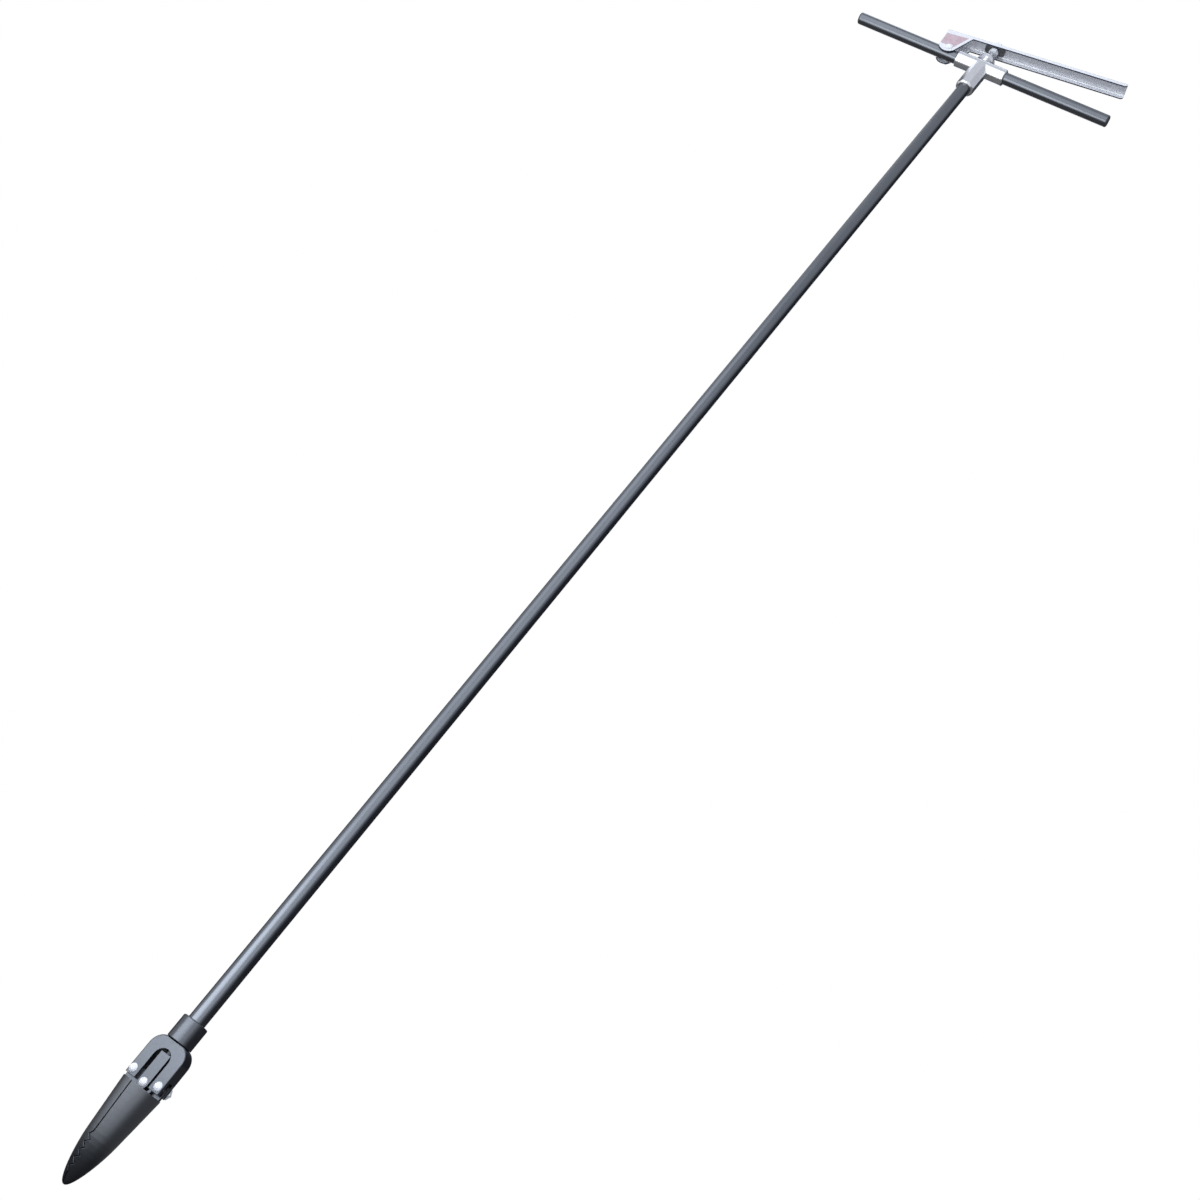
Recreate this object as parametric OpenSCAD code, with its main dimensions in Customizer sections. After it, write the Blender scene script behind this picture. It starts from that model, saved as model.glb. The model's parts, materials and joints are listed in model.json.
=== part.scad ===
// Long-reach soil grab: a T-handled tube whose squeeze lever works two pointed clamshell jaws.
// Origin at the jaws' tip on the shaft axis, Z up the shaft, X along the T-bar to its right end.

/* [Shaft and T-bar] */
// Height of the T-bar axis over the jaws' tip
bar_axis_z = 1770; // [1200:10:2200]
// Outside diameter of the shaft tube
shaft_d = 18; // [16:0.5:22]
// Wall of the shaft tube
shaft_wall = 1.5; // [1:0.1:2]
// Outside diameter of each T-bar tube
bar_d = 16.5; // [15:0.5:19]
// Wall of each T-bar tube
bar_wall = 2; // [1.6:0.1:3]
// Step down in radius of the T-bar tube's end inside the tee
bar_step = 0.75; // [0.4:0.05:1]
// Reach of the T-bar from the shaft axis to either end
bar_reach = 192; // [160:1:240]
// Length of the end plug inside a T-bar tube
plug_l = 15; // [8:1:30]
// Thickness of the end plug's cap
plug_cap_t = 2; // [1:0.5:5]
// Step down in radius of the end plug's cap from the T-bar tube
plug_step = 0.3; // [0.1:0.1:0.8]

/* [Tee fitting] */
// Wall of the tee around the T-bar tubes
run_wall = 3; // [2:0.25:5]
// Length of the tee along the T-bar
run_l = 74; // [66:1:84]
// Depth of each T-bar socket
bar_socket = 26; // [18:1:28]
// Least wall of the eight-sided leg around the shaft tube
leg_wall = 3.4; // [2.5:0.1:5]
// Drop of the leg below the T-bar axis
leg_drop = 53; // [45:1:70]
// Depth of the shaft socket in the leg
leg_socket = 38; // [20:1:40]
// Chamfer on the tee's open ends
tee_chamfer = 1.3; // [0.5:0.1:2]
// Drop of the pointed tops of the leg's flats below the T-bar axis
gable_drop = 2; // [0:0.5:4]
// Height of those points over the flats' shoulders
gable_h = 9; // [4:0.5:12]

/* [Gland] */
// Diameter of the domed gland nut
gland_d = 25.5; // [22:0.5:26]
// Height of the straight skirt under the dome
gland_skirt = 2; // [1:0.5:3]
// Gap between the gland nut and the top of the tee's run
gland_gap = 1.25; // [0.75:0.25:1.5]
// Height of the tee's boss inside the gland nut
boss_in = 5.5; // [3:0.5:6]
// Diameter of the threaded boss on the tee
boss_d = 18; // [16:0.5:20]
// Outside diameter of the upper guide bush
top_bush_d = 13; // [11:0.5:14]
// Length of the upper guide bush
top_bush_l = 12; // [8:0.5:14]

/* [Pull rod] */
// Diameter of the pull rod
rod_d = 8; // [7:0.5:9]
// Length of thread above the upper nut
rod_tail = 2.5; // [1:0.5:6]
// Number of spacers that keep the rod central in the tube
spacer_n = 3; // [1:1:6]
// Length of one spacer
spacer_l = 20; // [10:1:40]

/* [Lever] */
// Distance from the shaft axis to the lever's pivot
pivot_x = 53; // [51:0.5:60]
// Rise of the pivot over the T-bar axis
pivot_rise = 3; // [0:0.5:3.5]
// Diameter of the pivot pin
pivot_d = 6; // [4:0.5:7]
// Slope of the lever over the T-bar at rest, in degrees
lever_tilt = 7.85; // [6:0.05:10]
// Squeeze of the lever from rest to fully down, in degrees
lever_squeeze = 12; // [6:0.5:12]
// Sheet thickness of the lever
lever_sheet = 1.8; // [1:0.1:2]
// Height of the lever's top over its pivot, square to the lever
lever_h = 38.3; // [38:0.1:44]
// Depth of the lever's channel
flange_h = 8.1; // [7:0.1:12]
// Length of the lever from its pivot to the free end
lever_l = 247; // [200:1:280]
// Radius of the flanges' corners at the free end
tip_r = 4.5; // [1:0.5:5]
// Outer bend radius of the channel
bend_r = 4.4; // [3:0.1:5]
// Radius of the cheeks' round lower end
cheek_r = 12.4; // [11:0.1:14]
// Setback of that round behind the pivot
cheek_set = 2.6; // [0:0.1:4]
// Rise of that round over the pivot
cheek_lift = 1.8; // [0:0.1:3]
// Length of the cheeks behind the pivot at the lever's top
cheek_back = 12.4; // [9:0.1:14]
// Length of the cheeks ahead of the pivot at the channel's edge
cheek_front = 25.3; // [20:0.1:26]
// Thickness of a pivot washer
washer_t = 0.8; // [0.5:0.1:1.5]
// Diameter of a pivot washer
washer_d = 12; // [10:0.5:14]
// Diameter of the pivot pin's head
pivot_head_d = 10; // [8:0.5:12]

/* [Rod to lever] */
// Thickness of the slide plate under the lever's top
slide_t = 2; // [1.5:0.1:2.5]
// Length of the slide plate past each end of the lever's slot
slide_lap = 1; // [0.5:0.5:3]
// Radius of the slide plate's corners
slide_corner = 4; // [1:0.5:5]
// Ball radius of the rocking washers
rocker_r = 7; // [6.5:0.1:8]
// Height of a rocking washer's flat over its ball's centre
rocker_flat = 3; // [2:0.1:3.5]
// Width across flats of the rod nuts
rod_nut_af = 12; // [11:0.5:13]
// Thickness of the lower rod nut
low_nut_h = 4; // [3:0.5:4]
// Thickness of the upper rod nut
top_nut_h = 5; // [4:0.5:8]

/* [Spring] */
// Length of the return spring at rest
spring_l = 90; // [60:1:140]
// Wire diameter of the spring
spring_wire = 1.4; // [1:0.1:2]
// Number of turns
spring_turns = 13; // [8:1:18]
// Length of the guide bush that seats the spring
low_bush_l = 16; // [10:1:30]
// Length of the collar that the spring lifts
spring_collar_l = 9; // [7:0.5:15]
// Diameter of the cross pin through that collar
cross_pin_d = 3; // [2:0.5:4]

/* [Fork head] */
// Turn of the jaws about the shaft from the T-bar's direction, in degrees
head_turn = -14.5; // [-45:0.5:45]
// Height of the jaw pins over the tip
pin_z = 106; // [98:1:130]
// Distance from the shaft axis to each jaw pin
pin_x = 17; // [16:0.25:18]
// Diameter of the jaw pins and of the link pin
pin_d = 6; // [5:0.25:6.5]
// Width of the fork
fork_w = 44.5; // [43:0.5:48]
// Depth of the fork from front to back
fork_depth = 14.5; // [13:0.25:18]
// Width of the fork's slot
slot_w = 19.5; // [18:0.25:21]
// Rise of the slot's round top over the jaw pins
slot_rise = 29; // [28:0.5:33]
// Rise of the fork's shoulders over the jaw pins
fork_rise = 39; // [36:0.5:45]
// Radius of the fork's shoulders
shoulder_r = 14; // [8:0.5:16]
// Reach of the fork's arms below the jaw pins
arm_tail = 5.7; // [4.5:0.1:6]
// Diameter of the collar over the shaft tube
collar_d = 26.9; // [25:0.1:30]
// Length of the collar above the shoulders
collar_l = 23; // [20:1:40]
// Diameter of the pins' round heads
head_d = 8.9; // [8:0.1:10]
// Height of the pins' round heads
head_h = 2.6; // [1.5:0.1:3.5]
// Width across flats of the pins' nuts
pin_nut_af = 10; // [9:0.5:11]
// Thickness of the pins' nuts
pin_nut_h = 4; // [3:0.5:5]
// Length of thread past a pin's nut
pin_tail = 0.5; // [0.5:0.5:3]
// Height of the shaft tube's end over the fork's shoulders
shaft_stop = 1; // [1:0.5:8]
// Round on the fork's outer edges
fork_edge = 1.5; // [0.5:0.1:2]
// Round on the collar's top edge
collar_edge = 1.5; // [0.5:0.1:2]

/* [Pull link] */
// Drop of the link pin below the jaw pins with the jaws shut
link_drop = 4.4; // [3:0.1:5]
// Width of the link
link_w = 12; // [11:0.25:12.5]
// Thickness of each of the link's two side straps
strap_t = 2.1; // [1.5:0.1:2.4]
// Height of the link's top over its pin
link_rise = 30; // [28:0.5:31]
// Height of the solid block between the straps
link_block_h = 12.5; // [9:0.5:13]
// Thickness of that block under the rod's end
rod_floor = 2.5; // [1.5:0.5:4]

/* [Jaws] */
// Radius of the jaw cone carried down to the tip's height
jaw_base_r = 11.5; // [10:0.1:12.5]
// Flare of the jaw cone, radius gained per unit of height
jaw_flare = 0.095; // [0.07:0.005:0.1]
// Height of the rounded nose
nose_l = 48; // [30:1:70]
// Wall of the jaw shells
jaw_wall = 2.2; // [1.5:0.1:3]
// Height of the solid point inside the tip
point_h = 6; // [4:0.5:10]
// Drop of the jaws' rim below the jaw pins
rim_drop = 8.8; // [8:0.1:12]
// Gap along the closed seam
seam = 1.2; // [0.2:0.05:1.5]
// Number of teeth on the seam
tooth_n = 5; // [3:1:8]
// Pitch of the teeth
tooth_pitch = 7.2; // [4:0.1:9]
// Half depth of the teeth
tooth_h = 2.2; // [0.8:0.1:2.6]
// Height of the lowest tooth over the tip
tooth_z = 11; // [8:0.5:14]
// Thickness of each jaw's lug
lug_t = 2.95; // [2:0.05:3.5]
// Gap between the two jaws' lugs
lug_gap = 0.3; // [0.2:0.05:0.6]
// Half height of the lugs
lug_r = 6.6; // [6:0.1:7.2]
// Depth of the lugs' feet below the rim
foot_h = 14; // [8:0.5:20]

/* [Clearances] */
// Radial clearance of a running fit
run_clear = 0.08; // [0.03:0.01:0.1]
// Radial clearance of a fixed fit
fit_clear = 0.03; // [0.01:0.01:0.05]
// Side clearance between sliding plates
side_clear = 0.2; // [0.1:0.05:0.3]
// Play of the link pin in the lugs' slots, either way
slot_play = 0.65; // [0.6:0.05:0.9]
// Play of the rod's nuts under and over the lever
rocker_play = 0.3; // [0.25:0.05:0.5]
// Clearance of the rod in the lever's slot
lever_slot_clear = 0.5; // [0.5:0.1:0.8]
// Play of the rod in the slide plate's hole, either way along the lever
slide_play = 0.65; // [0.65:0.05:1]
// Radial clearance of the rod where it only passes through
rod_gap = 0.5; // [0.3:0.1:1]
// Radial clearance of the spring's collar in the tube
collar_gap = 0.7; // [0.3:0.1:1]
// Clearance over the lugs in the fork's slit
slit_gap = 1.2; // [0.5:0.1:3]

/* [Hidden] */
$fn = 64;
over = 1;
black = "#2b2d31";
bright = "#c8ccd3";
dark_zinc = "#6d7076";
nylon = "#d9d8d0";

// Tee, gland and T-bar
run_d = bar_d + 2 * run_wall;
leg_flat = shaft_d / 2 + leg_wall;
leg_r = leg_flat / cos(22.5);
bar_inner_x = run_l / 2 - bar_socket;
bar_end = bar_reach - plug_cap_t;
neck_r = bar_d / 2 - bar_step;
gland_seat = run_d / 2 + gland_gap;
dome_z = gland_seat + gland_skirt;
boss_top = gland_seat + boss_in;
bush_seat = boss_top - top_bush_l;
shaft_top = bar_axis_z - leg_drop + leg_socket;
shaft_bore = shaft_d - 2 * shaft_wall;
rod_hole = rod_d + 2 * rod_gap;

// Lever, worked out in its own frame with the pivot at the origin and the lever along X
lever_in_w = bar_d + 2 * (washer_t + side_clear);
lever_w = lever_in_w + 2 * lever_sheet;
edge_h = lever_h - flange_h;
slide_w = lever_in_w - 2 * (bend_r - lever_sheet);
slide_under = lever_h - lever_sheet - run_clear - slide_t;
lever_slot_w = rod_d + 2 * lever_slot_clear;

// Rod nuts: the lower ball rests in the slide plate's hole, the upper one on the edges of the lever's slot
lever_slot_r = lever_slot_w / 2;
ball_rise = sqrt(pow(rocker_r, 2) - pow(lever_slot_r, 2));
rocker_d = 2 * sqrt(pow(rocker_r, 2) - pow(rocker_flat, 2));
low_ball_h = slide_under - ball_rise - rocker_play;
top_ball_h = lever_h + ball_rise + rocker_play;
function rod_cross(h, slope) = (pivot_x + h * sin(slope)) / cos(slope);
function rod_height(h, slope) = (h + pivot_x * sin(slope)) / cos(slope);
slot_near = rod_cross(top_ball_h, lever_tilt - lever_squeeze) - lever_slot_clear;
slot_far = rod_cross(top_ball_h, lever_tilt) + lever_slot_clear;
pivot_z = bar_axis_z + pivot_rise;
low_ball_z = pivot_z + rod_height(low_ball_h, lever_tilt);
top_ball_z = pivot_z + rod_height(top_ball_h, lever_tilt);
rod_travel = rod_height(low_ball_h, lever_tilt) - rod_height(low_ball_h, lever_tilt - lever_squeeze);
// The slide plate follows the rod, midway between the lower ball's centre and the plate
slide_follow_h = (low_ball_h + slide_under) / 2;
slide_x = rod_cross(slide_follow_h, lever_tilt);
slide_travel = slide_x - rod_cross(slide_follow_h, lever_tilt - lever_squeeze);
slide_near = slide_x - slot_near + lever_slot_r + slide_lap;
slide_far = slot_far - slide_x + slide_travel + lever_slot_r + slide_lap;
top_nut_z = top_ball_z - rocker_flat;
rod_top = top_nut_z + top_nut_h + rod_tail;

// Fork head and link
fork_top = pin_z + fork_rise;
collar_top = fork_top + collar_l;
arm_end = pin_z - arm_tail;
slot_top = pin_z + slot_rise;
lug_half = lug_gap / 2 + lug_t;
slit_half = lug_half + side_clear;
shaft_seat = fork_top + shaft_stop;
link_z = pin_z - link_drop;
link_top = link_z + link_rise;
strap_out = slit_half + strap_t;
rod_bottom = link_top - link_block_h + rod_floor;
slit_top = pin_z + lug_r + slit_gap;

// Spring, above the lower guide bush
spring_seat = shaft_seat + low_bush_l;
spring_mean_r = (rod_d + shaft_bore) / 4;
collar_fit_d = shaft_bore - 2 * collar_gap;

// Jaws
rim_z = pin_z - rim_drop;
tooth_top = tooth_z + tooth_n * tooth_pitch;
link_reach = norm([pin_x, link_drop]);
link_angle = atan2(link_drop, pin_x);
link_far = norm([pin_x, link_drop + rod_travel]);
lug_slot_w = pin_d + 2 * slot_play;
function nose(z) = z < nose_l ? sqrt(1 - pow(1 - z / nose_l, 2)) : 1;
function jaw_r(z) = (jaw_base_r + jaw_flare * z) * nose(z);
jaw_steps = 24;
function jaw_level(i) = rim_z * pow(i / jaw_steps, 2);
outer_line = [for (i = [0:jaw_steps]) [jaw_r(jaw_level(i)), jaw_level(i)]];
inner_levels = [for (i = [jaw_steps:-1:0]) if (jaw_level(i) > point_h) jaw_level(i)];
function inner_line(gap) = [for (z = inner_levels) [jaw_r(z) - jaw_wall - gap, z]];

// A rectangle hung below zero, with round upper corners
module round_topped(w, h, r) {
    translate([-w / 2, -h]) square([w, h - r]);
    translate([-w / 2 + r, -h]) square([w - 2 * r, h]);
    for (side = [-1, 1]) translate([side * (w / 2 - r), -r]) circle(r = r);
}

module along_y(r, y0, y1) {
    translate([0, y1, 0]) rotate([90, 0, 0]) cylinder(r = r, h = y1 - y0);
}

module along_x(r, x0, x1) {
    translate([x0, 0, 0]) rotate([0, 90, 0]) cylinder(r = r, h = x1 - x0);
}

module ring(d, bore, h) {
    difference() {
        cylinder(d = d, h = h);
        translate([0, 0, -over]) cylinder(d = bore, h = h + 2 * over);
    }
}

module hex_nut(af, bore, h) {
    difference() {
        cylinder(r = af / 2 / cos(30), h = h, $fn = 6);
        translate([0, 0, -over]) cylinder(d = bore, h = h + 2 * over);
    }
}

module round_head(d, h) {
    ball_r = (d * d / 4 + h * h) / (2 * h);
    intersection() {
        translate([0, 0, h - ball_r]) sphere(r = ball_r);
        cylinder(d = d, h = h);
    }
}

// A pin along Y with a round head in front
module headed_pin(d, head, rise, y0, y1) {
    along_y(d / 2, y0, y1);
    translate([0, y0, 0]) rotate([90, 0, 0]) round_head(head, rise);
}

module nut_behind(af, bore, h, y) {
    translate([0, y + h, 0]) rotate([90, 0, 0]) hex_nut(af, bore, h);
}

// A plate standing in the XZ plane between two depths
module upright(y0, y1) {
    translate([0, y1, 0]) rotate([90, 0, 0]) linear_extrude(height = y1 - y0) children();
}

module at_bar() {
    translate([0, 0, bar_axis_z]) children();
}

module in_head() {
    rotate([0, 0, head_turn]) children();
}

module in_lever() {
    translate([-pivot_x, 0, pivot_z]) rotate([0, -lever_tilt, 0]) children();
}

module shaft_tube() {
    color(black) translate([0, 0, shaft_seat]) ring(shaft_d, shaft_bore, shaft_top - shaft_seat);
}

module tee_run() {
    r = run_d / 2;
    half = run_l / 2;
    rotate([0, 90, 0]) rotate_extrude()
        polygon([[0, -half], [r - tee_chamfer, -half], [r, -half + tee_chamfer],
            [r, half - tee_chamfer], [r - tee_chamfer, half], [0, half]]);
}

// Eight flats that run out in a cone where the leg meets the run
module tee_leg() {
    wide = leg_r + over;
    wide_z = -gable_drop - gable_h * (wide - leg_flat) / (leg_r - leg_flat);
    intersection() {
        translate([0, 0, -leg_drop]) rotate([0, 0, 22.5])
            cylinder(r = leg_r, h = leg_drop + run_d, $fn = 8);
        rotate_extrude()
            polygon([[0, -leg_drop], [leg_r - 2 * tee_chamfer, -leg_drop],
                [wide, -leg_drop + 2 * tee_chamfer + over], [wide, wide_z],
                [leg_flat, -gable_drop], [run_d / 4, gable_drop], [0, gable_drop]]);
    }
}

module tee_fitting() {
    color(bright) at_bar() difference() {
        union() {
            tee_run();
            tee_leg();
            cylinder(d = boss_d, h = boss_top);
        }
        along_x(neck_r + fit_clear, bar_inner_x, run_l);
        along_x(neck_r + fit_clear, -run_l, -bar_inner_x);
        translate([0, 0, -leg_drop - over])
            cylinder(d = shaft_d + 2 * fit_clear, h = leg_socket + over);
        translate([0, 0, -leg_drop]) cylinder(d = rod_hole, h = leg_drop + boss_top + over);
        translate([0, 0, bush_seat]) cylinder(d = top_bush_d + 2 * fit_clear, h = boss_top);
    }
}

// A T-bar tube to the right, with its stepped end in the tee
module bar_tube() {
    difference() {
        union() {
            along_x(neck_r, bar_inner_x, bar_end);
            along_x(bar_d / 2, run_l / 2, bar_end);
        }
        along_x(bar_d / 2 - bar_wall, bar_inner_x - over, bar_end + over);
    }
}

module left_bar() {
    color(black) at_bar() difference() {
        mirror([1, 0, 0]) bar_tube();
        translate([-pivot_x, 0, pivot_rise]) along_y(pivot_d / 2 + fit_clear, -bar_d, bar_d);
    }
}

module right_bar() {
    color(black) at_bar() bar_tube();
}

module end_plug() {
    cap_r = bar_d / 2 - plug_step;
    along_x(bar_d / 2 - bar_wall - fit_clear, bar_end - plug_l, bar_end);
    translate([bar_end, 0, 0]) rotate([0, 90, 0]) rotate_extrude()
        polygon([[0, 0], [cap_r, 0], [cap_r, plug_cap_t / 2], [cap_r - plug_cap_t / 2, plug_cap_t],
            [0, plug_cap_t]]);
}

module left_end_plug() {
    color(black) at_bar() mirror([1, 0, 0]) end_plug();
}

module right_end_plug() {
    color(black) at_bar() end_plug();
}

module gland_nut() {
    r = gland_d / 2;
    color(bright) at_bar() difference() {
        union() {
            translate([0, 0, gland_seat]) cylinder(r = r, h = gland_skirt);
            intersection() {
                translate([0, 0, dome_z]) sphere(r = r);
                translate([0, 0, dome_z]) cylinder(r = r + over, h = r + over);
            }
        }
        translate([0, 0, gland_seat - over])
            cylinder(d = boss_d + 2 * fit_clear, h = boss_in + over);
        cylinder(d = rod_hole, h = dome_z + gland_d);
    }
}

module upper_guide_bush() {
    color(nylon) at_bar() translate([0, 0, bush_seat])
        ring(top_bush_d, rod_d + 2 * run_clear, boss_top - bush_seat);
}

module lower_guide_bush() {
    color(nylon) translate([0, 0, shaft_seat])
        ring(shaft_bore - 2 * fit_clear, rod_d + 2 * run_clear, low_bush_l);
}

module round_corners(w, d, r) {
    square([w - 2 * r, d], center = true);
    square([w, d - 2 * r], center = true);
    for (x = [-1, 1], y = [-1, 1]) translate([x * (w / 2 - r), y * (d / 2 - r)]) circle(r = r);
}

// The fork's block between its shoulders, round along its outer edges
module fork_block() {
    shoulder_x = fork_w / 2 - shoulder_r;
    shoulder_z = fork_top - shoulder_r;
    half = fork_depth / 2;
    translate([0, 0, arm_end]) linear_extrude(height = shoulder_z - arm_end)
        round_corners(fork_w, fork_depth, fork_edge);
    translate([-shoulder_x, 0, fork_top]) rotate([90, 0, 90]) linear_extrude(height = 2 * shoulder_x)
        round_topped(fork_depth, fork_top - arm_end, fork_edge);
    for (side = [-1, 1]) translate([side * shoulder_x, 0, shoulder_z]) rotate([90, 0, 0]) rotate_extrude() {
        translate([0, -half]) square([shoulder_r - fork_edge, fork_depth]);
        translate([0, fork_edge - half]) square([shoulder_r, fork_depth - 2 * fork_edge]);
        for (y = [-1, 1]) translate([shoulder_r - fork_edge, y * (half - fork_edge)]) circle(r = fork_edge);
    }
}

module collar_body() {
    r = collar_d / 2 - collar_edge;
    round_z = collar_top - collar_edge;
    rotate_extrude() {
        translate([0, fork_top]) square([collar_d / 2, collar_l - collar_edge]);
        translate([0, fork_top]) square([r, collar_l]);
        translate([r, round_z]) circle(r = collar_edge);
    }
}

module fork_head() {
    color(black) in_head() difference() {
        union() {
            fork_block();
            collar_body();
        }
        translate([-slot_w / 2, -fork_depth, arm_end - over])
            cube([slot_w, 2 * fork_depth, slot_top - slot_w / 2 - arm_end + over]);
        translate([0, 0, slot_top - slot_w / 2]) along_y(slot_w / 2, -fork_depth, fork_depth);
        translate([-fork_w, -slit_half, arm_end - over])
            cube([2 * fork_w, 2 * slit_half, slit_top - arm_end + over]);
        for (side = [-1, 1]) translate([side * pin_x, 0, pin_z])
            along_y(pin_d / 2 + fit_clear, -fork_depth, fork_depth);
        translate([0, 0, slot_top - over]) cylinder(d = rod_hole, h = collar_top);
        translate([0, 0, shaft_seat]) cylinder(d = shaft_d + 2 * fit_clear, h = collar_top);
    }
}

module jaw_pin(side) {
    half = fork_depth / 2;
    in_head() translate([side * pin_x, 0, pin_z])
        headed_pin(pin_d, head_d, head_h, -half, half + pin_nut_h + pin_tail);
}

module left_jaw_pin() {
    color(bright) jaw_pin(-1);
}

module right_jaw_pin() {
    color(bright) jaw_pin(1);
}

module jaw_pin_nuts() {
    color(bright) in_head() for (side = [-1, 1]) translate([side * pin_x, 0, pin_z])
        nut_behind(pin_nut_af, pin_d + 2 * fit_clear, pin_nut_h, fork_depth / 2);
}

module lever_pivot_pin() {
    half = lever_w / 2 + side_clear;
    color(bright) translate([-pivot_x, 0, pivot_z])
        headed_pin(pivot_d, pivot_head_d, head_h, -half, half + pin_nut_h + pin_tail);
}

module lever_pivot_nut() {
    color(bright) translate([-pivot_x, 0, pivot_z])
        nut_behind(pin_nut_af, pivot_d + 2 * fit_clear, pin_nut_h, lever_w / 2 + side_clear);
}

module pivot_washers() {
    inner = bar_d / 2 + side_clear / 2;
    color(nylon) translate([-pivot_x, 0, pivot_z]) for (side = [0, 1]) mirror([0, side, 0])
        translate([0, inner + washer_t, 0]) rotate([90, 0, 0])
            ring(washer_d, pivot_d + 2 * run_clear, washer_t);
}

// Points of the spring's wire, ring by ring along the helix
coil_steps = 8 * spring_turns;
coil_sides = 6;
coil_low = spring_seat + spring_wire / 2 + side_clear;
coil_rise = spring_l - spring_wire - 2 * side_clear;
function coil_point(i, k) = let (turn = 360 * i / 8, lean = 360 * k / coil_sides,
    r = spring_mean_r + spring_wire / 2 * cos(lean))
    [r * cos(turn), r * sin(turn), coil_low + coil_rise * i / coil_steps + spring_wire / 2 * sin(lean)];

module return_spring() {
    points = [for (i = [0:coil_steps]) for (k = [0:coil_sides - 1]) coil_point(i, k)];
    walls = [for (i = [0:coil_steps - 1]) for (k = [0:coil_sides - 1]) let (
        a = i * coil_sides + k, b = i * coil_sides + (k + 1) % coil_sides,
        c = a + coil_sides, d = b + coil_sides) each [[a, b, d], [a, d, c]]];
    last = coil_steps * coil_sides;
    ends = [for (k = [1:coil_sides - 2]) each [[0, k + 1, k], [last, last + k, last + k + 1]]];
    color(dark_zinc) polyhedron(points = points, faces = concat(walls, ends));
}

module lever_channel() {
    translate([-cheek_back, 0, lever_h]) rotate([90, 0, 90]) linear_extrude(height = lever_l + cheek_back)
        difference() {
            round_topped(lever_w, flange_h, bend_r);
            translate([0, -lever_sheet]) round_topped(lever_in_w, flange_h, bend_r - lever_sheet);
        }
}

// Where a line from a point touches a circle
function tangent_point(p, c, r, side) = let (v = p - c, a = atan2(v[1], v[0]) + side * acos(r / norm(v)))
    c + r * [cos(a), sin(a)];

module cheek_outline() {
    bend = lever_h - bend_r;
    front = [cheek_front, edge_h];
    back = [-cheek_back, bend];
    middle = [-cheek_set, cheek_lift];
    translate(middle) circle(r = cheek_r);
    polygon([middle, tangent_point(front, middle, cheek_r, -1), front, [cheek_front, bend], back,
        tangent_point(back, middle, cheek_r, 1)]);
}

// A hole with round ends for the rod, along the lever
module rod_slot(near, far, z0, z1) {
    translate([near, -lever_slot_r, z0]) cube([far - near, lever_slot_w, z1 - z0]);
    for (x = [near, far]) translate([x, 0, z0]) cylinder(r = lever_slot_r, h = z1 - z0);
}

// What rounds off the flanges' corners at the free end
module tip_corner() {
    upright(-lever_w, lever_w) translate([lever_l - tip_r, edge_h]) difference() {
        translate([0, -over]) square([tip_r + over, tip_r + over]);
        translate([0, tip_r]) circle(r = tip_r);
    }
}

module lever() {
    color(bright) in_lever() difference() {
        union() {
            lever_channel();
            upright(-lever_w / 2, -lever_in_w / 2) cheek_outline();
            upright(lever_in_w / 2, lever_w / 2) cheek_outline();
        }
        along_y(pivot_d / 2 + run_clear, -lever_w, lever_w);
        rod_slot(slot_near, slot_far, edge_h, lever_h + over);
        tip_corner();
    }
}

module slide_plate() {
    color(dark_zinc) in_lever() difference() {
        translate([slide_x + (slide_far - slide_near) / 2, 0, slide_under]) linear_extrude(height = slide_t)
            round_corners(slide_near + slide_far, slide_w, slide_corner);
        rod_slot(slide_x - slide_play, slide_x + slide_play, slide_under - over, lever_h);
    }
}

module pull_rod() {
    color(bright) difference() {
        translate([0, 0, rod_bottom]) cylinder(d = rod_d, h = rod_top - rod_bottom);
        translate([0, 0, spring_seat + spring_l + spring_collar_l / 2])
            along_x(cross_pin_d / 2 + fit_clear, -rod_d, rod_d);
    }
}

module rod_spacers() {
    low = spring_seat + spring_l + spring_collar_l;
    gap = (shaft_top - low) / (spacer_n + 1);
    color(nylon) for (i = [1:spacer_n]) translate([0, 0, low + i * gap - spacer_l / 2])
        ring(shaft_bore - 2 * run_clear, rod_d + 2 * fit_clear, spacer_l);
}

module rocker() {
    difference() {
        intersection() {
            sphere(r = rocker_r);
            translate([0, 0, rocker_flat]) cylinder(d = rocker_d, h = rocker_r);
        }
        cylinder(d = rod_d + 2 * fit_clear, h = 2 * rocker_r);
    }
}

module lower_rod_nut() {
    color(bright) translate([0, 0, low_ball_z + rocker_flat - low_nut_h])
        hex_nut(rod_nut_af, rod_d + 2 * fit_clear, low_nut_h);
}

module lower_rocker() {
    color(bright) translate([0, 0, low_ball_z]) rocker();
}

module upper_rocker() {
    color(bright) translate([0, 0, top_ball_z]) mirror([0, 0, 1]) rocker();
}

module upper_rod_nut() {
    color(bright) translate([0, 0, top_nut_z]) hex_nut(rod_nut_af, rod_d + 2 * fit_clear, top_nut_h);
}

module spring_collar() {
    color(dark_zinc) translate([0, 0, spring_seat + spring_l]) difference() {
        ring(collar_fit_d, rod_d + 2 * fit_clear, spring_collar_l);
        translate([0, 0, spring_collar_l / 2]) along_x(cross_pin_d / 2 + fit_clear, -shaft_d, shaft_d);
    }
}

module spring_cross_pin() {
    color(bright) translate([0, 0, spring_seat + spring_l + spring_collar_l / 2])
        along_x(cross_pin_d / 2, -collar_fit_d / 2 + side_clear, collar_fit_d / 2 - side_clear);
}

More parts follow.
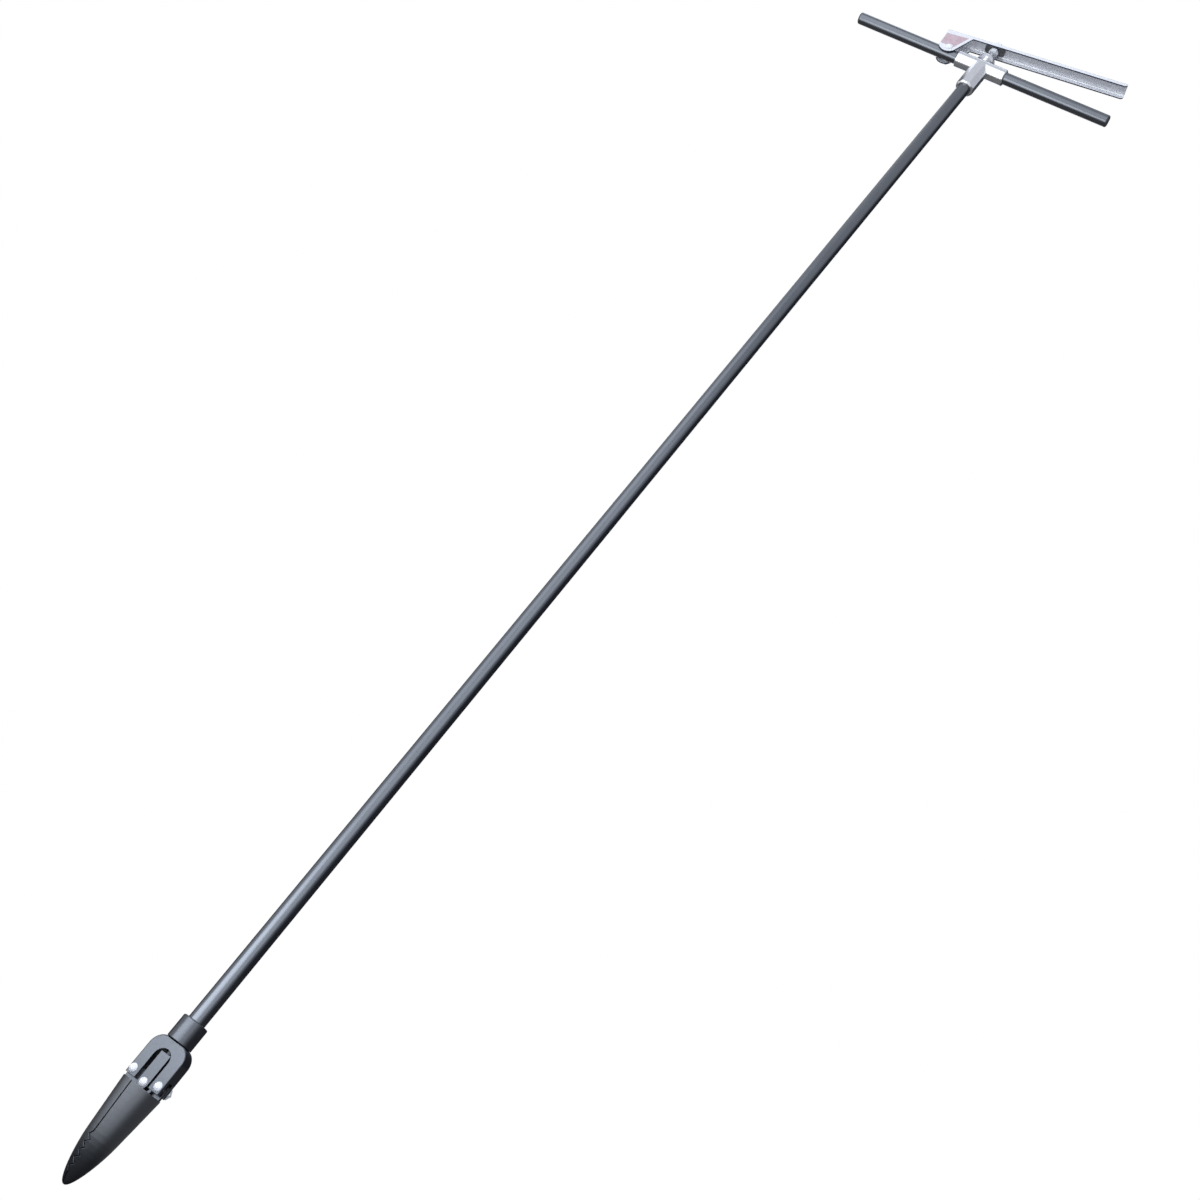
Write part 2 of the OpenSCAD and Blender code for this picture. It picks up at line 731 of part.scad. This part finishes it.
// Two straps on the link pin, joined by a block that takes the rod's end
module pull_link() {
    color(black) in_head() difference() {
        union() {
            translate([-link_w / 2, -strap_out, link_z]) cube([link_w, 2 * strap_out, link_top - link_z]);
            translate([0, 0, link_z]) along_y(link_w / 2, -strap_out, strap_out);
        }
        translate([-link_w, -slit_half, link_z - link_w])
            cube([2 * link_w, 2 * slit_half, link_top - link_block_h - link_z + link_w]);
        translate([0, 0, link_z]) along_y(pin_d / 2 + fit_clear, -fork_depth, fork_depth);
        translate([0, 0, rod_bottom]) cylinder(d = rod_d + 2 * fit_clear, h = link_rise);
    }
}

module link_pin() {
    color(bright) in_head() translate([0, 0, link_z])
        headed_pin(pin_d, head_d, head_h, -strap_out, strap_out + pin_nut_h + pin_tail);
}

module link_nut() {
    color(bright) in_head() translate([0, 0, link_z])
        nut_behind(pin_nut_af, pin_d + 2 * fit_clear, pin_nut_h, strap_out);
}

module jaw_shell() {
    rotate_extrude() polygon(concat(outer_line, inner_line(0), [[0, point_h]]));
}

// Everything to the right of the toothed seam, moved by an offset
module right_of_seam(shift) {
    reach = jaw_base_r * 4;
    zigzag = [for (i = [1:2 * tooth_n - 1])
        [(i % 2 == 1 ? -tooth_h : tooth_h) + shift, tooth_z + i * tooth_pitch / 2]];
    upright(-reach, reach) polygon(concat([[shift, -over], [shift, tooth_z]], zigzag,
        [[shift, tooth_top], [shift, rim_z + over], [reach, rim_z + over], [reach, -over]]));
}

module left_jaw() {
    color(black) in_head() difference() {
        jaw_shell();
        right_of_seam(-seam / 2);
    }
}

module right_jaw() {
    color(black) in_head() intersection() {
        jaw_shell();
        right_of_seam(seam / 2);
    }
}

// Space that a lug may fill: inside the shell below the rim, and free above it
module lug_room() {
    reach = fork_w / 2 - side_clear;
    rotate_extrude() polygon(concat(inner_line(fit_clear), [[0, point_h], [0, rim_z]]));
    translate([-reach, -lug_half, rim_z]) cube([2 * reach, 2 * lug_half, fork_rise]);
}

// Lug of the left jaw: an arm from its pin to the link pin, and a foot down the shell
module lug_outline() {
    translate([-pin_x, pin_z]) rotate(-link_angle) {
        circle(r = lug_r);
        translate([0, -lug_r]) square([link_far, 2 * lug_r]);
        translate([link_far, 0]) circle(r = lug_r);
    }
    translate([-fork_w / 2, rim_z - foot_h]) square([fork_w / 2 - pin_x / 2, foot_h + rim_drop]);
}

module lug_slot() {
    translate([-pin_x, 0, pin_z]) rotate([0, link_angle, 0]) {
        translate([link_reach, -lug_half - over, -lug_slot_w / 2])
            cube([link_far - link_reach, lug_half + over, lug_slot_w]);
        for (x = [link_reach, link_far]) translate([x, 0, 0])
            along_y(lug_slot_w / 2, -lug_half - over, 0);
    }
}

module jaw_lug() {
    difference() {
        intersection() {
            upright(-lug_half, -lug_gap / 2) lug_outline();
            lug_room();
        }
        translate([-pin_x, 0, pin_z]) along_y(pin_d / 2 + run_clear, -fork_depth, 0);
        lug_slot();
    }
}

module left_jaw_lug() {
    color(black) in_head() jaw_lug();
}

module right_jaw_lug() {
    color(black) in_head() rotate([0, 0, 180]) jaw_lug();
}

shaft_tube();
tee_fitting();
left_bar();
right_bar();
left_end_plug();
right_end_plug();
gland_nut();
upper_guide_bush();
lower_guide_bush();
fork_head();
left_jaw_pin();
right_jaw_pin();
jaw_pin_nuts();
lever_pivot_pin();
lever_pivot_nut();
pivot_washers();
return_spring();
lever();
slide_plate();
pull_rod();
rod_spacers();
lower_rod_nut();
lower_rocker();
upper_rocker();
upper_rod_nut();
spring_collar();
spring_cross_pin();
pull_link();
link_pin();
link_nut();
left_jaw();
left_jaw_lug();
right_jaw();
right_jaw_lug();
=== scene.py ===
"""Looks of the long-handled soil grab: finishes, the cheek's plain label, studio and camera."""
import json
import math

import bpy
from mathutils import Matrix, Vector


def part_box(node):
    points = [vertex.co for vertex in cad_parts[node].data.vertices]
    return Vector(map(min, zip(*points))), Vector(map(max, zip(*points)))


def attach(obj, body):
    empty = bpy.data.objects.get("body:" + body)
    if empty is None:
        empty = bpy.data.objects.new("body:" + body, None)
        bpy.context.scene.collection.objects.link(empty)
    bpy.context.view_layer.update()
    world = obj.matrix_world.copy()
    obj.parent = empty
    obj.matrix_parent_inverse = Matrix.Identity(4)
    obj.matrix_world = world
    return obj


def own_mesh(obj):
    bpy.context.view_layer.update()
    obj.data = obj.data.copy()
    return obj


MM = 0.001

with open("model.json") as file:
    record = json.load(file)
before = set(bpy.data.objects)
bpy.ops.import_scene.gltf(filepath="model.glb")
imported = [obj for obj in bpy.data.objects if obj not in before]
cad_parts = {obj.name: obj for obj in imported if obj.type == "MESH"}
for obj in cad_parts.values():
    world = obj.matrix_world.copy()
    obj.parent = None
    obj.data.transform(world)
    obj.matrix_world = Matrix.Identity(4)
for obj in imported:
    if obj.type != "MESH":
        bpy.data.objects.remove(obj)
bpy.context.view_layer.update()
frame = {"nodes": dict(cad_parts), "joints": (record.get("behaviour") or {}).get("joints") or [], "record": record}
nodes = frame["nodes"]
scene = bpy.context.scene
scene.view_settings.view_transform = "Standard"


def rgb(red, green, blue):
    return (red, green, blue, 1.0)


WHITE = rgb(1.0, 1.0, 1.0)
BLACK = rgb(0.0, 0.0, 0.0)
# A Mix node's colour sockets come after those for numbers and vectors
MIX_FIRST, MIX_SECOND, MIX_RESULT = 6, 7, 2
EDGE_SAMPLES = 6


class Value:
    """What changes over a surface. Arithmetic on it adds Math nodes where it is at home."""

    def __init__(self, home, socket):
        self.home = home
        self.socket = socket

    def reckon(self, operation, first, second=0.0):
        return self.home.node("ShaderNodeMath", {"operation": operation}, {0: first, 1: second})

    def __add__(self, other):
        return self.reckon("ADD", self, other)

    __radd__ = __add__

    def __sub__(self, other):
        return self.reckon("SUBTRACT", self, other)

    def __rsub__(self, other):
        return self.reckon("SUBTRACT", other, self)

    def __mul__(self, other):
        return self.reckon("MULTIPLY", self, other)

    __rmul__ = __mul__

    def __abs__(self):
        return self.reckon("ABSOLUTE", self)

    def span(self, low, high):
        """Runs smoothly from 0 at low to 1 at high, and stays there."""
        sockets = {"Value": self, "From Min": low, "From Max": high}
        return self.home.node("ShaderNodeMapRange", {"interpolation_type": "SMOOTHSTEP"}, sockets)


class Nodes:
    """The shader nodes of a material or of the room, made by node() and by arithmetic."""

    def __init__(self, owner):
        owner.use_nodes = True
        self.tree = owner.node_tree

    def node(self, kind, settings=None, sockets=None, out=0):
        made = self.tree.nodes.new(kind)
        for key, setting in (settings or {}).items():
            setattr(made, key, setting)
        for key, given in (sockets or {}).items():
            self.give(made.inputs[key], given)
        return Value(self, made.outputs[out])

    def give(self, socket, given):
        if isinstance(given, Value):
            self.tree.links.new(given.socket, socket)
        else:
            socket.default_value = given

    def blend(self, amount, first, second):
        """Mixes two colours by an amount from 0 to 1."""
        sockets = {0: amount, MIX_FIRST: first, MIX_SECOND: second}
        return self.node("ShaderNodeMix", {"data_type": "RGBA"}, sockets, MIX_RESULT)

    def measure(self, operation, *vectors):
        """A number from one or two vectors, such as a length."""
        settings = {"operation": operation}
        return self.node("ShaderNodeVectorMath", settings, dict(enumerate(vectors)), "Value")

    def ray(self, kind):
        """1 for light of one kind and 0 for the rest."""
        return self.node("ShaderNodeLightPath", out=f"Is {kind} Ray")

    def cover(self, share, under, over):
        """Lays one shader over another by a share from 0 to 1."""
        return self.node("ShaderNodeMixShader", sockets={0: share, 1: under, 2: over})


class Finish(Nodes):
    """One material, with the noises and masks that its colour, gloss and bump are made of."""

    def __init__(self, name):
        self.material = bpy.data.materials.new(name)
        super().__init__(self.material)
        self.shader = self.tree.nodes["Principled BSDF"]

    def set(self, **sockets):
        for key, given in sockets.items():
            self.give(self.shader.inputs[key.replace("_", " ")], given)
        return self.material

    def place(self, stretch=(1.0, 1.0, 1.0), turn=(0.0, 0.0, 0.0)):
        """Where a point lies on the piece, in metres, stretched and turned for a grain."""
        here = self.node("ShaderNodeTexCoord", out="Object")
        return self.node("ShaderNodeMapping", sockets={0: here, "Rotation": turn, "Scale": stretch})

    def noise(self, place, scale=1.0, detail=4.0, roughness=0.6):
        sockets = {"Vector": place, "Scale": scale, "Detail": detail, "Roughness": roughness}
        return self.node("ShaderNodeTexNoise", sockets=sockets)

    def along(self, vector, axis):
        """How far a vector goes along one axis."""
        return self.node("ShaderNodeSeparateXYZ", sockets={0: vector}, out=axis)

    def facing(self):
        """Which way the surface faces."""
        return self.node("ShaderNodeNewGeometry", out="Normal")

    def soft_edge(self, radius):
        return self.node("ShaderNodeBevel", {"samples": EDGE_SAMPLES}, {"Radius": radius})

    def edge_mask(self, radius, low=0.02, high=0.25):
        """1 along the piece's edges and 0 on its faces."""
        likeness = self.measure("DOT_PRODUCT", self.facing(), self.soft_edge(radius))
        return (1.0 - likeness).span(low, high)

    def bump(self, height, strength, distance, edge=None):
        """A raised skin, on edges that are soft where their radius is given."""
        sockets = {"Height": height, "Strength": strength, "Distance": distance}
        if edge:
            sockets["Normal"] = self.soft_edge(edge)
        return self.node("ShaderNodeBump", sockets=sockets)


# Finishes. Scales are in waves to a metre. A pair of numbers is where a mask starts and is full.
ALONG_X = (9.0, 420.0, 420.0)
ALONG_Z = (420.0, 420.0, 9.0)
NO_GRAIN = (260.0, 260.0, 260.0)

PAINT_COAT = rgb(0.005, 0.0053, 0.007)
PAINT_THIN = rgb(0.011, 0.0117, 0.015)
PAINT_RUB = rgb(0.15, 0.155, 0.17)
PAINT_SHEEN = rgb(0.84, 0.90, 1.0)
PAINT_IOR = 1.66
PAINT_EDGE = 0.5 * MM
RUBBED_EDGE = 0.7 * MM
PATCH_SCALE = 28.0
THIN_PATCHES, RUBBED_PATCHES = (0.35, 0.75), (0.42, 0.62)
THIN_STREAKS, ROUGH_STREAKS = (0.55, 0.8), (0.5, 0.8)
PEEL_SCALE, PEEL_STRENGTH, PEEL_HEIGHT = 420.0, 0.06, 0.15 * MM


def satin_black(name, grain, rub, roughness, shine):
    """Black enamel on steel: faint orange peel, patches of thinner coat, rubbed edges."""
    paint = Finish(name)
    here = paint.place()
    patches = paint.noise(here, PATCH_SCALE)
    peel = paint.noise(here, PEEL_SCALE, detail=2.0, roughness=0.5)
    streaks = paint.noise(paint.place(grain), detail=3.0)
    thin = 0.7 * patches.span(*THIN_PATCHES) + 0.3 * streaks.span(*THIN_STREAKS)
    worn = rub * paint.edge_mask(RUBBED_EDGE) * patches.span(*RUBBED_PATCHES)
    uneven = 0.08 * patches - 0.06 * worn + 0.04 * streaks.span(*ROUGH_STREAKS)
    coat = paint.blend(thin, PAINT_COAT, PAINT_THIN)
    return paint.set(
        Base_Color=paint.blend(worn, coat, PAINT_RUB),
        Roughness=roughness + uneven,
        Specular_IOR_Level=shine,
        Specular_Tint=PAINT_SHEEN,
        IOR=PAINT_IOR,
        Normal=paint.bump(peel, PEEL_STRENGTH, PEEL_HEIGHT, PAINT_EDGE))


ZINC = rgb(0.80, 0.81, 0.845)
ZINC_DULL = rgb(0.63, 0.64, 0.685)
NICKEL = rgb(0.62, 0.626, 0.654)
NICKEL_DULL = rgb(0.496, 0.502, 0.533)
LOW_BLACK = rgb(0.035, 0.036, 0.040)
LOW_BLACK_FADE = 6.0 * MM
PLATE_EDGE = 0.5 * MM
CLOUD_SCALE, CLOUDS = 60.0, (0.45, 0.75)
GRAIN_LINES = (0.4, 0.7)


def plating(metal, grain, dull):
    """How cloudy plated metal is, and how much rougher the clouds and the fine grain make it."""
    cloudy = dull * metal.noise(metal.place(), CLOUD_SCALE).span(*CLOUDS)
    lines = metal.noise(grain, roughness=0.65).span(*GRAIN_LINES)
    return cloudy, 0.08 * cloudy + 0.05 * lines


def bright_plate(name, roughness, grain, dull, metallic, tones=(ZINC, ZINC_DULL), black_below=None):
    """Bright plated metal with cloudy patches and a fine grain, black below a given height."""
    plate = Finish(name)
    cloudy, uneven = plating(plate, plate.place(grain), dull)
    colour = plate.blend(cloudy, *tones)
    # Below the given height the colour runs to black
    if black_below:
        height = plate.along(plate.place(), "Z")
        upper = height.span(black_below - LOW_BLACK_FADE, black_below + LOW_BLACK_FADE)
        colour = plate.blend(upper, LOW_BLACK, colour)
    return plate.set(
        Base_Color=colour,
        Metallic=metallic,
        Roughness=roughness + uneven,
        Normal=plate.soft_edge(PLATE_EDGE))


# Cut edges and burrs get a dark blue tone, partly bare steel and partly a painted dark outline. Upward bends get a
# painted shade.
CUT_STEEL_AND_SHADE = rgb(0.060, 0.066, 0.105)
BEND_PAINTED_SHADE = rgb(0.13, 0.135, 0.15)
LEVER_TILT = math.radians(7.85)
LEVER_INSIDE, WALL_FADE = 9.25 * MM, 0.1 * MM
SHEET_EDGE = 0.3 * MM
BURR_AND_SHADE_EDGE, BURR_AND_SHADE = 0.6 * MM, (0.02, 0.2)
SIDEWAYS, ENDWISE, UPWARD, ON_BEND = (0.55, 0.75), (0.5, 0.8), (0.45, 0.65), (0.10, 0.40)


def lever_plate(name, roughness, dull, metallic):
    """Bright rolled sheet with its grain along the lever, painted shade on its upward bends, and dark cut edges
    and burrs, partly bare steel and partly a painted dark outline.
    """
    sheet = Finish(name)
    level = sheet.place(turn=(0.0, LEVER_TILT, 0.0))
    grain = sheet.node("ShaderNodeMapping", sockets={0: level, "Scale": ALONG_X})
    cloudy, uneven = plating(sheet, grain, dull)
    # The sheet's wall lies outside the channel. A face there that isn't sideways is a bend or cut.
    out = abs(sheet.along(sheet.place(), "Y"))
    wall = out.span(LEVER_INSIDE - WALL_FADE, LEVER_INSIDE + WALL_FADE)
    facing = sheet.facing()
    sideways = abs(sheet.along(facing, "Y")).span(*SIDEWAYS)
    endwise = abs(sheet.along(facing, "X")).span(*ENDWISE)
    upward = sheet.along(facing, "Z")
    bend_shade = wall * upward.span(*ON_BEND)
    burr_and_shade = sheet.edge_mask(BURR_AND_SHADE_EDGE, *BURR_AND_SHADE)
    lower = wall * (1.0 - sideways) * (1.0 - upward.span(*UPWARD))
    cut = lower + endwise - lower * endwise
    colour = sheet.blend(cloudy, ZINC, ZINC_DULL)
    # Painted shade on the upward bends, and dark cut edges and burrs that are partly bare steel and partly a
    # painted dark outline
    for amount, tone in ((0.8 * bend_shade, BEND_PAINTED_SHADE), (0.6 * burr_and_shade, CUT_STEEL_AND_SHADE), (cut, CUT_STEEL_AND_SHADE)):
        colour = sheet.blend(amount, colour, tone)
    return sheet.set(
        Base_Color=colour,
        Metallic=metallic,
        Roughness=roughness + uneven + 0.1 * cut,
        Normal=sheet.soft_edge(SHEET_EDGE))


DARK_METALLIC, DARK_ROUGHNESS = 0.9, 0.40
DARK_EDGE, DARK_RUBBED_EDGE = 0.3 * MM, 0.4 * MM
MOTTLE_SCALE, MOTTLES = 140.0, (0.35, 0.7)
MOTTLE_STRENGTH, MOTTLE_HEIGHT = 0.05, 0.1 * MM


def dark_zinc(name, colour, tint):
    """Dark plated steel, a little mottled, with bright rubbed edges."""
    plate = Finish(name)
    mottle = plate.noise(plate.place(), MOTTLE_SCALE)
    worn = 0.6 * plate.edge_mask(DARK_RUBBED_EDGE)
    base = plate.blend(mottle.span(*MOTTLES), colour, tint)
    return plate.set(
        Base_Color=plate.blend(worn, base, ZINC_DULL),
        Metallic=DARK_METALLIC,
        Roughness=DARK_ROUGHNESS + 0.15 * mottle,
        Normal=plate.bump(mottle, MOTTLE_STRENGTH, MOTTLE_HEIGHT, DARK_EDGE))


MOULDED_ROUGHNESS = 0.5
MOULDED_EDGE = 0.4 * MM
DRIFT_SCALE, DRIFTS = 80.0, (0.3, 0.7)
PEBBLE_SCALE, PEBBLE_STRENGTH, PEBBLE_HEIGHT = 2600.0, 0.15, 0.05 * MM


def moulded(name, colour, shade):
    """Moulded plastic: a fine pebbled skin and slight colour drift."""
    skin = Finish(name)
    drift = skin.noise(skin.place(), DRIFT_SCALE, detail=3.0, roughness=0.5)
    pebble = skin.noise(skin.place(), PEBBLE_SCALE, detail=1.0, roughness=0.5)
    return skin.set(
        Base_Color=skin.blend(drift.span(*DRIFTS), colour, shade),
        Roughness=MOULDED_ROUGHNESS + 0.1 * drift,
        Normal=skin.bump(pebble, PEBBLE_STRENGTH, PEBBLE_HEIGHT, MOULDED_EDGE))


LABEL_INK = rgb(0.48, 0.34, 0.38)
LABEL_FADED = rgb(0.54, 0.42, 0.46)
LABEL_BARE = rgb(0.70, 0.65, 0.69)
LABEL_ROUGHNESS = 0.45
FADE_SCALE, FADES = 160.0, (0.3, 0.7)
SPECK_SCALE, SPECKS = 900.0, (0.60, 0.75)
SPECK_STRENGTH, SPECK_HEIGHT = 0.1, 0.05 * MM


def faded_label(name):
    """A plain label, sun-faded and speckled where its ink has rubbed off."""
    paper = Finish(name)
    fade = paper.noise(paper.place(), FADE_SCALE, detail=3.0)
    speck = paper.noise(paper.place(), SPECK_SCALE, detail=3.0, roughness=0.7)
    ink = paper.blend(fade.span(*FADES), LABEL_INK, LABEL_FADED)
    return paper.set(
        Base_Color=paper.blend(0.7 * speck.span(*SPECKS), ink, LABEL_BARE),
        Roughness=LABEL_ROUGHNESS + 0.15 * fade,
        Normal=paper.bump(speck, SPECK_STRENGTH, SPECK_HEIGHT))


MAKING = {
    "shaft_paint": (satin_black, dict(grain=ALONG_Z, rub=0.35, roughness=0.22, shine=1.15)),
    "bar_paint": (satin_black, dict(grain=ALONG_X, rub=0.35, roughness=0.22, shine=1.2)),
    "head_paint": (satin_black, dict(grain=NO_GRAIN, rub=0.5, roughness=0.26, shine=0.82)),
    "jaw_paint": (satin_black, dict(grain=NO_GRAIN, rub=0.5, roughness=0.27, shine=1.5)),
    "tee_metal": (bright_plate, dict(grain=NO_GRAIN, roughness=0.20, dull=0.3, metallic=0.95,
                                     tones=(NICKEL, NICKEL_DULL))),
    "pin_metal": (bright_plate, dict(grain=NO_GRAIN, roughness=0.5, dull=0.1, metallic=0.1)),
    "rod_steel": (bright_plate, dict(grain=ALONG_Z, roughness=0.26, dull=0.6, metallic=0.85,
                                     black_below=1.70)),
    "lever_metal": (lever_plate, dict(roughness=0.34, dull=0.3, metallic=0.35)),
    "slide_steel": (dark_zinc, dict(colour=rgb(0.16, 0.165, 0.18), tint=rgb(0.24, 0.245, 0.26))),
    "spring_steel": (dark_zinc, dict(colour=rgb(0.26, 0.26, 0.27), tint=rgb(0.36, 0.36, 0.37))),
    "guide_nylon": (moulded, dict(colour=rgb(0.74, 0.73, 0.68), shade=rgb(0.66, 0.65, 0.60))),
    "plug_plastic": (moulded, dict(colour=rgb(0.03, 0.031, 0.034), shade=rgb(0.045, 0.046, 0.05))),
}
FINISHES = {name: make(name, **values) for name, (make, values) in MAKING.items()}
# The bars and the jaws have the slots of the shaft and the head, with paint of their own
OWN_PAINT = {
    "left_bar": "bar_paint",
    "right_bar": "bar_paint",
    "left_jaw": "jaw_paint",
    "right_jaw": "jaw_paint",
}
for part in frame["record"]["subparts"]:
    mesh = nodes[part["node"]].data
    mesh.materials.clear()
    mesh.materials.append(FINISHES[OWN_PAINT.get(part["node"], part["material_slot"])])


# The plain label on the lever's near cheek. Its corners are in the lever's own plane, from its
# pivot, in millimetres.
PIVOT = Vector((-53.0, 0.0, 1773.0)) * MM
CHEEK_FACE = -11.05 * MM
LABEL_T = 0.08 * MM
LABEL_CORNERS = [
    (-12.2, 26.6), (19.6, 28.6), (9.0, 7.8), (6.6, 2.0), (-4.5, 1.6), (-12.3, 3.0), (-14.0, 3.6)]
LABEL_STEPS = 8
NOTCH_R = 5.7 * MM
NOTCH_RISE = 0.3


def cheek_label():
    """A thin plate on the cheek, cut round the pivot's head."""
    outline = [Vector((x * MM, 0.0, z * MM)) for x, z in LABEL_CORNERS]
    ring = []
    for corner, after in zip(outline, outline[1:] + outline[:1]):
        for step in range(LABEL_STEPS):
            point = corner.lerp(after, step / LABEL_STEPS)
            if point.length < NOTCH_R:
                point.z = max(point.z, NOTCH_RISE * point.length)
                point = point.normalized() * NOTCH_R
            ring.append(point)
    count = len(ring)
    back = list(range(count))
    front = [count + here for here in reversed(back)]
    rim = [(after, here, count + here, count + after) for here, after in zip(back, back[1:] + back[:1])]
    raised = [point + Vector((0.0, -LABEL_T, 0.0)) for point in ring]
    mesh = bpy.data.meshes.new("cheek_label")
    mesh.from_pydata(ring + raised, [], [back, front, *rim])
    mesh.transform(Matrix.Translation(PIVOT) @ Matrix.Rotation(-LEVER_TILT, 4, "Y"))
    mesh.transform(Matrix.Translation((0.0, CHEEK_FACE, 0.0)))
    mesh.materials.append(faded_label("label_paper"))
    label = bpy.data.objects.new("cheek_label", mesh)
    scene.collection.objects.link(label)
    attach(label, "squeeze_lever")


def springy_coil():
    """Gives the coil inside the tube a mesh of its own. The share of its length left when the rod's collar comes
    fully down is worked out but not used.
    """
    low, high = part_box("return_spring")
    slide = next(joint for joint in frame["joints"] if joint["name"] == "rod_slide")
    keep = 1.0 - slide["range_m"][1] / (high[2] - low[2])
    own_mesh(nodes["return_spring"])


cheek_label()
springy_coil()


# The studio. The room is bright on the key's side and dark on the other.
KEY_SIDE = (-0.35, -0.83, 0.43)
KEY_SPREAD = (-0.15, 0.45)
LIT_SIDE = rgb(0.80, 0.84, 0.91)
SHADE_SIDE = rgb(0.05, 0.055, 0.07)
FILL_STRENGTH = 0.88


def white_room():
    """White as the background, and lit from the key's side for all other light."""
    world = bpy.data.worlds.new("white_room")
    room = Nodes(world)
    toward = room.node("ShaderNodeTexCoord", out="Generated")
    lit = room.measure("DOT_PRODUCT", toward, KEY_SIDE).span(*KEY_SPREAD)
    tone = room.blend(lit, SHADE_SIDE, LIT_SIDE)
    fill = room.tree.nodes["Background"]
    room.give(fill.inputs["Color"], tone)
    room.give(fill.inputs["Strength"], FILL_STRENGTH)
    shown = Value(room, fill.outputs[0])
    mirrored = room.ray("Glossy") + room.ray("Transmission")
    for share, colour in ((mirrored, tone), (room.ray("Camera"), WHITE)):
        light = room.node("ShaderNodeBackground", sockets={"Color": colour})
        shown = room.cover(share, shown, light)
    room.give(room.tree.nodes["World Output"].inputs[0], shown)
    scene.world = world


FLOOR_HALF = 60.0
FLOOR_DROP = 0.5 * MM
FLOOR_TONE = rgb(0.42, 0.43, 0.46)
FLOOR_ROUGHNESS = 0.9
# To the camera the floor is mostly a white glow, and the rest of it keeps the tool's shadow
FLOOR_WHITE = 0.94
FLOOR_GLOW = 1.05
# In the tool's own reflections it is white on the key's side and dim behind the tool, and round its tip it is
# darkened as a painted contact shadow
LIT_FLOOR = (-0.30, -0.95, 0.0)
FLOOR_FAR = 0.20
FLOOR_NEAR = (0.05, 0.40)
FOOT_DIM = 0.2
FOOT_REACH = (0.04, 0.35)


def pale_floor():
    """A wide plain floor just under the tip."""
    mesh = bpy.data.meshes.new("floor")
    signs = [(-1, -1), (1, -1), (1, 1), (-1, 1)]
    corners = [(x * FLOOR_HALF, y * FLOOR_HALF, -FLOOR_DROP) for x, y in signs]
    mesh.from_pydata(corners, [], [(0, 1, 2, 3)])
    floor = bpy.data.objects.new("floor", mesh)
    scene.collection.objects.link(floor)
    paper = Finish("floor_paper")
    paper.set(Base_Color=FLOOR_TONE, Roughness=FLOOR_ROUGHNESS)
    here = paper.place()
    near = paper.measure("DOT_PRODUCT", here, LIT_FLOOR).span(*FLOOR_NEAR)
    away = paper.measure("LENGTH", here).span(*FOOT_REACH)
    # The glow seen in reflections, with a painted contact shadow round the tip
    dim = (FLOOR_FAR + (1.0 - FLOOR_FAR) * near) * (FOOT_DIM + (1.0 - FOOT_DIM) * away)
    mirrored = paper.ray("Glossy") + paper.ray("Transmission")
    direct = FLOOR_WHITE * paper.ray("Camera")
    shown = Value(paper, paper.shader.outputs[0])
    glows = [(mirrored, paper.blend(dim, BLACK, WHITE), 1.0), (direct, WHITE, FLOOR_GLOW)]
    for share, colour, strength in glows:
        glow = paper.node("ShaderNodeEmission", sockets={"Color": colour, "Strength": strength})
        shown = paper.cover(share, shown, glow)
    paper.give(paper.tree.nodes["Material Output"].inputs[0], shown)
    mesh.materials.append(paper.material)


DAYLIGHT = (0.88, 0.93, 1.0)
# Each lamp's place, the point that it faces, its width and height, and its watts
LAMPS = {
    "key_box": ((-1.47, -2.02, 1.4), (0.0, 0.0, 1.4), (2.6, 3.4), 40.0),
    "front_box": ((0.85, -2.35, 1.2), (0.0, 0.0, 1.2), (2.2, 2.8), 24.5),
    "low_box": ((-0.40, -0.85, 0.35), (0.0, 0.0, 1.75), (0.9, 0.9), 8.0),
    "top_box": ((-0.7, 0.4, 3.6), (0.0, 0.0, 1.5), (1.4, 1.4), 8.0),
    "back_box": ((-0.85, 2.3, 2.9), (0.0, 0.0, 1.7), (2.2, 1.1), 13.0),
}


def softbox(name, place, aim, size, watts):
    lamp = bpy.data.lights.new(name, "AREA")
    lamp.shape = "RECTANGLE"
    lamp.size, lamp.size_y = size
    lamp.energy = watts
    lamp.color = DAYLIGHT
    box = bpy.data.objects.new(name, lamp)
    box.location = place
    box.rotation_euler = (Vector(aim) - Vector(place)).to_track_quat("-Z", "Y").to_euler()
    scene.collection.objects.link(box)


white_room()
pale_floor()
for name, lamp in LAMPS.items():
    softbox(name, *lamp)


# The camera, at the photograph's view
FRAME_PX = 1200.0
FOCAL_PX = 1425.0
SENSOR_MM = 36.0
CLIP_NEAR, CLIP_FAR = 0.05, 200.0
CAMERA_AT = Vector((0.4910, -1.3192, 0.0875))
CAMERA_RIGHT = Vector((0.8264, -0.00687, 0.56304))
CAMERA_DOWN = Vector((0.48504, 0.51659, -0.7056))


def photo_camera():
    lens = bpy.data.cameras.new("photo_camera")
    lens.sensor_fit = "HORIZONTAL"
    lens.sensor_width = SENSOR_MM
    lens.lens = FOCAL_PX / FRAME_PX * SENSOR_MM
    lens.clip_start, lens.clip_end = CLIP_NEAR, CLIP_FAR
    camera = bpy.data.objects.new("photo_camera", lens)
    right = CAMERA_RIGHT.normalized()
    up = -(CAMERA_DOWN - right * CAMERA_DOWN.dot(right)).normalized()
    turn = Matrix((right, up, right.cross(up))).transposed()
    camera.matrix_world = Matrix.Translation(CAMERA_AT) @ turn.to_4x4()
    scene.collection.objects.link(camera)
    scene.camera = camera


photo_camera()
